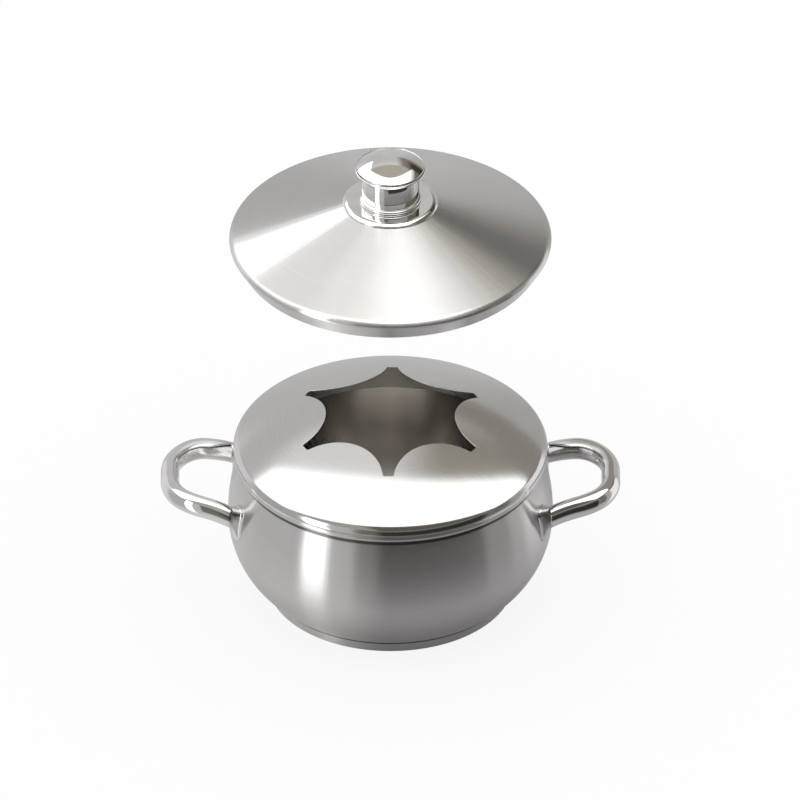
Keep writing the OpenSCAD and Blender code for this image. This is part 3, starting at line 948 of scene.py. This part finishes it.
def makeKnobFlange():
    part = knob
    flat, edge, hole = part["flangeFlat"], part["flangeEdge"], lid["holeRadius"]
    edgeCentre = (flangeRadius - edge, knobFoot - part["flangeSkirt"] + edge)
    # The shoulder's arc starts level with the flat and runs tangent into the edge
    run, drop = edgeCentre[0] - flat, neckLow - edgeCentre[1]
    curve = (run ** 2 + drop ** 2 - edge ** 2) / (2 * (drop - edge))
    turn = math.degrees(math.asin(run / (curve - edge)))
    shoulder = arc((flat, neckLow - curve), curve, 90, 90 - turn, steps=28)
    rim = arc(edgeCentre, edge, 90 - turn, -90, steps=12)
    top = straight((part["neckRadius"] - part["underNeck"], neckLow), shoulder[0], steps=8)
    # Underneath it lies on the seat and leaves the cone just before the edge
    under = [(lid["seatRadius"] - part["seatSpare"], knobFoot), (hole, knobFoot)]
    knobPiece("knob_flange", [(hole, neckLow)] + top[:-1] + shoulder + rim[1:] + under, sharpAngle=50)


def makeKnobNeck():
    part = knob
    radius, cut, lip = part["neckRadius"], part["groove"], part["insertLip"]
    footTop = neckLow + part["footHeight"]
    wallLow = footTop + cut
    bead = arc((radius, neckLow + part["footHeight"] / 2), (part["footHeight"] - cut) / 2, -90, 90, steps=16)
    groove = arc((radius - cut / 2, footTop + cut / 4), cut / 2, 250, 110, steps=6)
    wall = [(radius - part["barrel"] * (2 * share - 1) ** 2, wallLow + (collarLow - wallLow) * share)
            for share in spaced(0, 1, 30)]
    floor = neckLow + part["sheet"]
    inside = [(neckInner, collarLow), (neckInner, floor), (lip, floor)]
    knobPiece("knob_neck", [(lip, neckLow), (radius, neckLow)] + bead[1:] + groove + wall + inside)


def makeKnobCollar():
    part = knob
    lip = part["sheet"] / 2
    ledge = collarLow + part["collarHeight"] - lip
    flare = collarRadius - part["neckRadius"]
    outside = [(part["neckRadius"] + flare * share ** 2, collarLow + (ledge - collarLow) * share)
               for share in spaced(0, 1, 16)]
    rim = arc((collarRadius - lip, ledge), lip, 0, 120, steps=10)
    inside = [(collarRadius - part["collarLip"], ledge), (neckInner, ledge)]
    knobPiece("knob_collar", [(neckInner, collarLow)] + outside + rim[1:] + inside)


def makeKnobCap():
    part = knob
    low = collarLow + part["collarHeight"] + part["capGap"]
    radius, rise, sheet = part["capRadius"], part["capRise"], part["sheet"]
    sphere = (radius ** 2 + rise ** 2) / (2 * rise)
    centre = (0, low + rise - sphere)
    rimTurn = math.degrees(math.acos(radius / sphere))
    skirt, soft = neckInner - part["pressGap"], part["capGap"] / 2
    inTurn = math.degrees(math.acos((skirt - sheet) / (sphere - sheet)))
    dome = arc(centre, sphere, rimTurn + part["capEdgeTurn"], 90, steps=40)
    edgeCentre = (radius - soft, low - part["capEdgeDrop"])
    edge = arc(edgeCentre, soft * part["capEdgeSize"], -80, 50, steps=10)
    inside = arc(centre, sphere - sheet, 90, inTurn, steps=24)
    foot = collarLow - part["capFit"]
    skirtLine = [(skirt - sheet, foot), (skirt, foot), (skirt, low - soft), (radius - soft, low - soft)]
    knobPiece("knob_cap", skirtLine + edge + dome + inside)


makeKnobFlange()
makeKnobNeck()
makeKnobCollar()
makeKnobCap()
print("knob made")

# The remaining CAD nodes keep their meshes and get their finishes
slots = {part["node"]: part["material_slot"] for part in frame["record"]["subparts"]}
for node in ("base_core", "knob_insert", "knob_washer", "knob_lock_washer", "knob_screw"):
    mesh = frame["nodes"][node].data
    mesh.materials.clear()
    mesh.materials.append(finishes[slots[node]])
print("inner pieces finished")


# Studio: a pale floor, a white world, and a lit room that only the metal sees
studio = {
    "floorSize": 30.0,  # metres
    "floorDrop": 0.2,
    "floorGlow": 0.86,  # share of the floor that stays white in the shadow
    "floorColour": (0.95, 0.95, 0.95),
    "roomRadius": 5.0,  # metres
    "frontWall": (0.46, 0.46, 0.465),
    "backWall": (0.58, 0.575, 0.575),
    "frontCeiling": (0.30, 0.30, 0.27),
    "backCeiling": (0.74, 0.73, 0.71),
    # Where front turns to back, in metres behind the pot, and walls to ceiling, in degrees of lift
    "wallChange": (-1.0, 4.0),
    "ceilingChange": (-0.6, -0.1),
    "ceilingLift": (38, 56),
    "lowestHeight": 0.05,  # metres, keeps the places overhead finite
    # On the walls: turn from the front to the right, lift, softness of both, colour
    "panels": (
        (-150, -110, -60, 60, 8, 6, (0.78, 0.77, 0.78)),
        (-43, -24, -30, 48, 4, 8, (0.55, 0.55, 0.55)),
        (-24, -7, -24, 40, 4, 9, (0.17, 0.17, 0.14)),
        (-9, 70, -34, 23, 4, 14, (0.035, 0.032, 0.027)),
        (70, 90, -24, 44, 5, 8, (0.17, 0.165, 0.15)),
        (90, 106, -40, 36, 5, 8, (0.42, 0.41, 0.40)),
        (134, 168, -10, 34, 8, 8, (0.47, 0.46, 0.45)),
        (104, 136, -60, 27, 5, 6, (1.00, 0.97, 1.00)),
        (-61.5, -44, -78, 54, 1, 3, (2.4, 2.4, 2.4)),
    ),
    # Overhead: place across and behind for a height of 1, softness of both, colour
    "overhead": (
        (0.26, 2.6, 0.42, 1.85, 0.14, 0.20, (0.23, 0.215, 0.18)),
        (-0.62, 0.70, 0.08, 0.74, 0.14, 0.06, (0.46, 0.43, 0.37)),
        (0.54, 1.30, 0.44, 1.42, 0.15, 0.14, (0.050, 0.047, 0.036)),
        (-1.15, -0.55, 0.72, 1.46, 0.05, 0.08, (3.6, 3.6, 3.6)),
    ),
    "softboxRear": 0.11,
    "softboxFront": -0.46,
    "softboxCurve": 1.9,  # how fast the rear edge runs back towards both sides
    "softboxReach": 0.68,  # and how far at most
    "softboxSoft": 0.04,
    "softboxSides": (1.6, 2.0),
    # Brightness of the softbox by place across, from -1 to 1
    "softboxTones": (
        (0.10, (1.70, 1.70, 1.70)),
        (0.30, (1.90, 1.90, 1.90)),
        (0.42, (3.20, 3.20, 3.20)),
        (0.50, (4.30, 4.30, 4.30)),
        (0.58, (4.30, 4.30, 4.30)),
        (0.68, (2.90, 2.90, 2.88)),
        (0.78, (1.10, 1.09, 1.05)),
        (0.86, (0.16, 0.15, 0.12)),
    ),
}

# The floor as the metal sees it, brighter on the window's side and dim where the pot stands
floorCard = {
    "leftTone": (0.68, 0.67, 0.66),
    "rightTone": (0.45, 0.44, 0.46),
    "leftContact": (0.44, 0.43, 0.42),
    "rightContact": (0.19, 0.18, 0.18),
    "sideways": (-75.0, 5.0),
    "contactFade": (82.0, 150.0),
    "roomFade": (165.0, 310.0),
    "drop": 0.1,
    "sides": 64,
}


def cameraSeesWhite(make):
    outputs = make.node("ShaderNodeLightPath").socket.node.outputs
    camera, glossy, through = [Wire(make, outputs[name + " Ray"])
                               for name in ("Is Camera", "Is Glossy", "Is Transmission")]
    return make.calc("MAXIMUM", camera + glossy, through)


def setWorld():
    world = bpy.data.worlds.new("studioWorld")
    bpy.context.scene.world = world
    world.use_nodes = True
    make = Maker(world.node_tree)
    make.finish(make.node("ShaderNodeBackground", None, {"Color": (1.0, 1.0, 1.0, 1.0), "Strength": 1.0}),
                "ShaderNodeOutputWorld")
    world.cycles.sampling_method = "NONE"


def stagePiece(name, vertices, faces, material):
    mesh = bpy.data.meshes.new(name)
    mesh.from_pydata(vertices, [], faces)
    mesh.materials.append(material)
    material.cycles.emission_sampling = "NONE"
    piece = linkObject(name, mesh)
    return piece


def onlyInMetal(piece):
    for ray in ("camera", "diffuse", "shadow", "volume_scatter"):
        setattr(piece, "visible_" + ray, False)


# A round card, which faces down where it is turned over
def roundCard(name, part, radius, height, material, turnedOver=False):
    ring = circle(radius * mm, height * mm, part["sides"])
    if turnedOver:
        ring = [(x, -y, z) for x, y, z in ring]
    card = stagePiece(name, ring, [range(part["sides"])], material)
    onlyInMetal(card)
    return card


# The floor is pale and keeps the shadow
def makeFloor():
    material, make = newMaterial("studioFloor")
    matt = make.node("ShaderNodeBsdfDiffuse", None, {"Color": opaque(studio["floorColour"])})
    share = cameraSeesWhite(make) * studio["floorGlow"]
    make.finish(make.mixShader(share, matt, make.glow((1.0, 1.0, 1.0))))
    half = studio["floorSize"] / 2
    corners = [(-half, -half, 0), (half, -half, 0), (half, half, 0), (-half, half, 0)]
    floor = stagePiece("studio_floor", corners, [(0, 1, 2, 3)], material)
    floor.location.z = -studio["floorDrop"] * mm
    floor.visible_glossy = False


# The floor close to the pot as the metal sees it, fading out into the room
def makeFloorCard():
    part = floorCard
    material, make = newMaterial("floorCard")
    x, y, _ = make.place()
    radius = (x * x + y * y) ** 0.5
    side = make.fade(x, part["sideways"])
    tone = make.blend(make.fade(radius, part["contactFade"]),
                      make.blend(side, part["leftContact"], part["rightContact"]),
                      make.blend(side, part["leftTone"], part["rightTone"]))
    make.finish(make.mixShader(make.fade(radius, part["roomFade"]), make.glow(tone), make.clear()))
    card = roundCard("floor_card", part, part["roomFade"][1], 0, material)
    card.location.z = -part["drop"] * mm


# Walls, ceiling, window and softbox, drawn by direction on one sphere
def makeStudioRoom():
    part = studio
    material, make = newMaterial("studioRoom")
    x, y, z = make.place()
    degree = 180 / math.pi
    turn = make.calc("ARCTAN2", x, 0 - y) * degree
    lift = make.calc("ARCSINE", z / part["roomRadius"]) * degree
    steep = make.calc("MAXIMUM", z, part["lowestHeight"])
    across, behind = x / steep, y / steep
    walls = make.blend(make.rise(y, *part["wallChange"]), part["frontWall"], part["backWall"])
    ceiling = make.blend(make.rise(y, *part["ceilingChange"]), part["frontCeiling"], part["backCeiling"])
    tone = make.blend(make.rise(lift, *part["ceilingLift"]), walls, ceiling)
    for panels, aside, along in (("panels", turn, lift), ("overhead", across, behind)):
        for left, right, low, high, softAside, softAlong, colour in part[panels]:
            mask = make.band(aside, left, right, softAside) * make.band(along, low, high, softAlong)
            tone = make.blend(mask, tone, colour)
    # The softbox, whose rear edge runs back towards both sides
    edge = make.calc("MINIMUM", across * across * part["softboxCurve"], part["softboxReach"])
    rear, front, soft = part["softboxRear"], part["softboxFront"], part["softboxSoft"]
    softbox = 1 - make.rise(behind - edge, rear - soft, rear + soft)
    softbox = softbox * make.rise(behind, front - soft, front + soft)
    softbox = softbox * (1 - make.rise(make.calc("ABSOLUTE", across), *part["softboxSides"]))
    tone = make.blend(softbox, tone, make.ramp(across * 0.5 + 0.5, part["softboxTones"]))
    make.finish(make.glow(tone))
    rings = [circle(*polar(part["roomRadius"], up), 64) for up in spaced(-90, 90, 48)]
    vertices, faces = bridge(rings)
    # The two end faces have no size at the poles
    onlyInMetal(stagePiece("studio_room", vertices, faces[:-2], material))


# A card over the guard, so that it mirrors a studio's light and not the lid's dark inside
guardCard = {
    "radius": 420.0,
    "drop": 0.5,  # how far it hangs below the lid's foot
    "whiteRear": (-28.0, -14.0),
    "whiteMiddle": 16.0,
    "whiteCurve": 2.6,  # per metre across
    "whiteLimit": 100.0,
    "whiteFront": (-150.0, -122.0),
    "white": (1.75, 1.75, 1.75),
    "sideways": (-20.0, 80.0),
    "leftTone": (0.84, 0.83, 0.81),
    "rightTone": (0.33, 0.31, 0.265),
    "rear": (100.0, 190.0),
    "rearTone": (0.56, 0.555, 0.55),
    "outward": (150.0, 255.0),
    "outerLeft": (0.57, 0.565, 0.56),
    "outerRight": (0.29, 0.275, 0.245),
    "frontLeft": (0.42, 0.41, 0.38),
    "frontRight": (0.13, 0.12, 0.10),
    "frontSideways": (-75.0, -30.0),
    "sides": 96,
}


def makeGuardCard():
    part = guardCard
    material, make = newMaterial("guardCard")
    x, y, _ = make.place()
    radius = (x * x + y * y) ** 0.5
    side = make.fade(x, part["sideways"])
    tone = make.blend(side, part["leftTone"], part["rightTone"])
    tone = make.blend(make.fade(y, part["rear"]), tone, part["rearTone"])
    outer = make.blend(side, part["outerLeft"], part["outerRight"])
    tone = make.blend(make.fade(radius, part["outward"]), tone, outer)
    aside = x - part["whiteMiddle"] * mm
    edge = make.calc("MINIMUM", aside * aside * part["whiteCurve"], part["whiteLimit"] * mm)
    tone = make.blend(make.fade(y - edge, part["whiteRear"]), part["white"], tone)
    front = make.blend(make.fade(x, part["frontSideways"]), part["frontLeft"], part["frontRight"])
    tone = make.blend(make.fade(y, part["whiteFront"]), front, tone)
    back = make.node("ShaderNodeNewGeometry", output="Backfacing")
    make.finish(make.mixShader(back, make.glow(tone), make.clear()))
    roundCard("guard_card", part, part["radius"], lidLow.z - part["drop"], material, turnedOver=True)


setWorld()
makeFloor()
makeFloorCard()
makeStudioRoom()
makeGuardCard()
print("studio made")

# Camera at the photograph's angle, far away so that lines stay nearly parallel
cameraView = {
    "elevation": 34.0,
    "distance": 16.0,  # metres
    "frameWidth": 535.2,
    "aim": (6.4, 0.0, 147.8),
    "sensor": 36.0,
    "farthest": 100.0,  # metres
}


def setCamera():
    view = cameraView
    data = bpy.data.cameras.new("studioCamera")
    data.sensor_width = view["sensor"]
    data.lens = view["sensor"] * view["distance"] / (view["frameWidth"] * mm)
    data.clip_end = view["farthest"]
    camera = linkObject("studioCamera", data)
    lift = view["elevation"]
    camera.location = Vector(view["aim"]) * mm + view["distance"] * Vector((0, -cosDeg(lift), sinDeg(lift)))
    camera.rotation_euler = (math.radians(90 - lift), 0, 0)
    bpy.context.scene.camera = camera


setCamera()
bpy.context.scene.view_settings.view_transform = "Standard"
print("camera set")

bpy.context.view_layer.update()
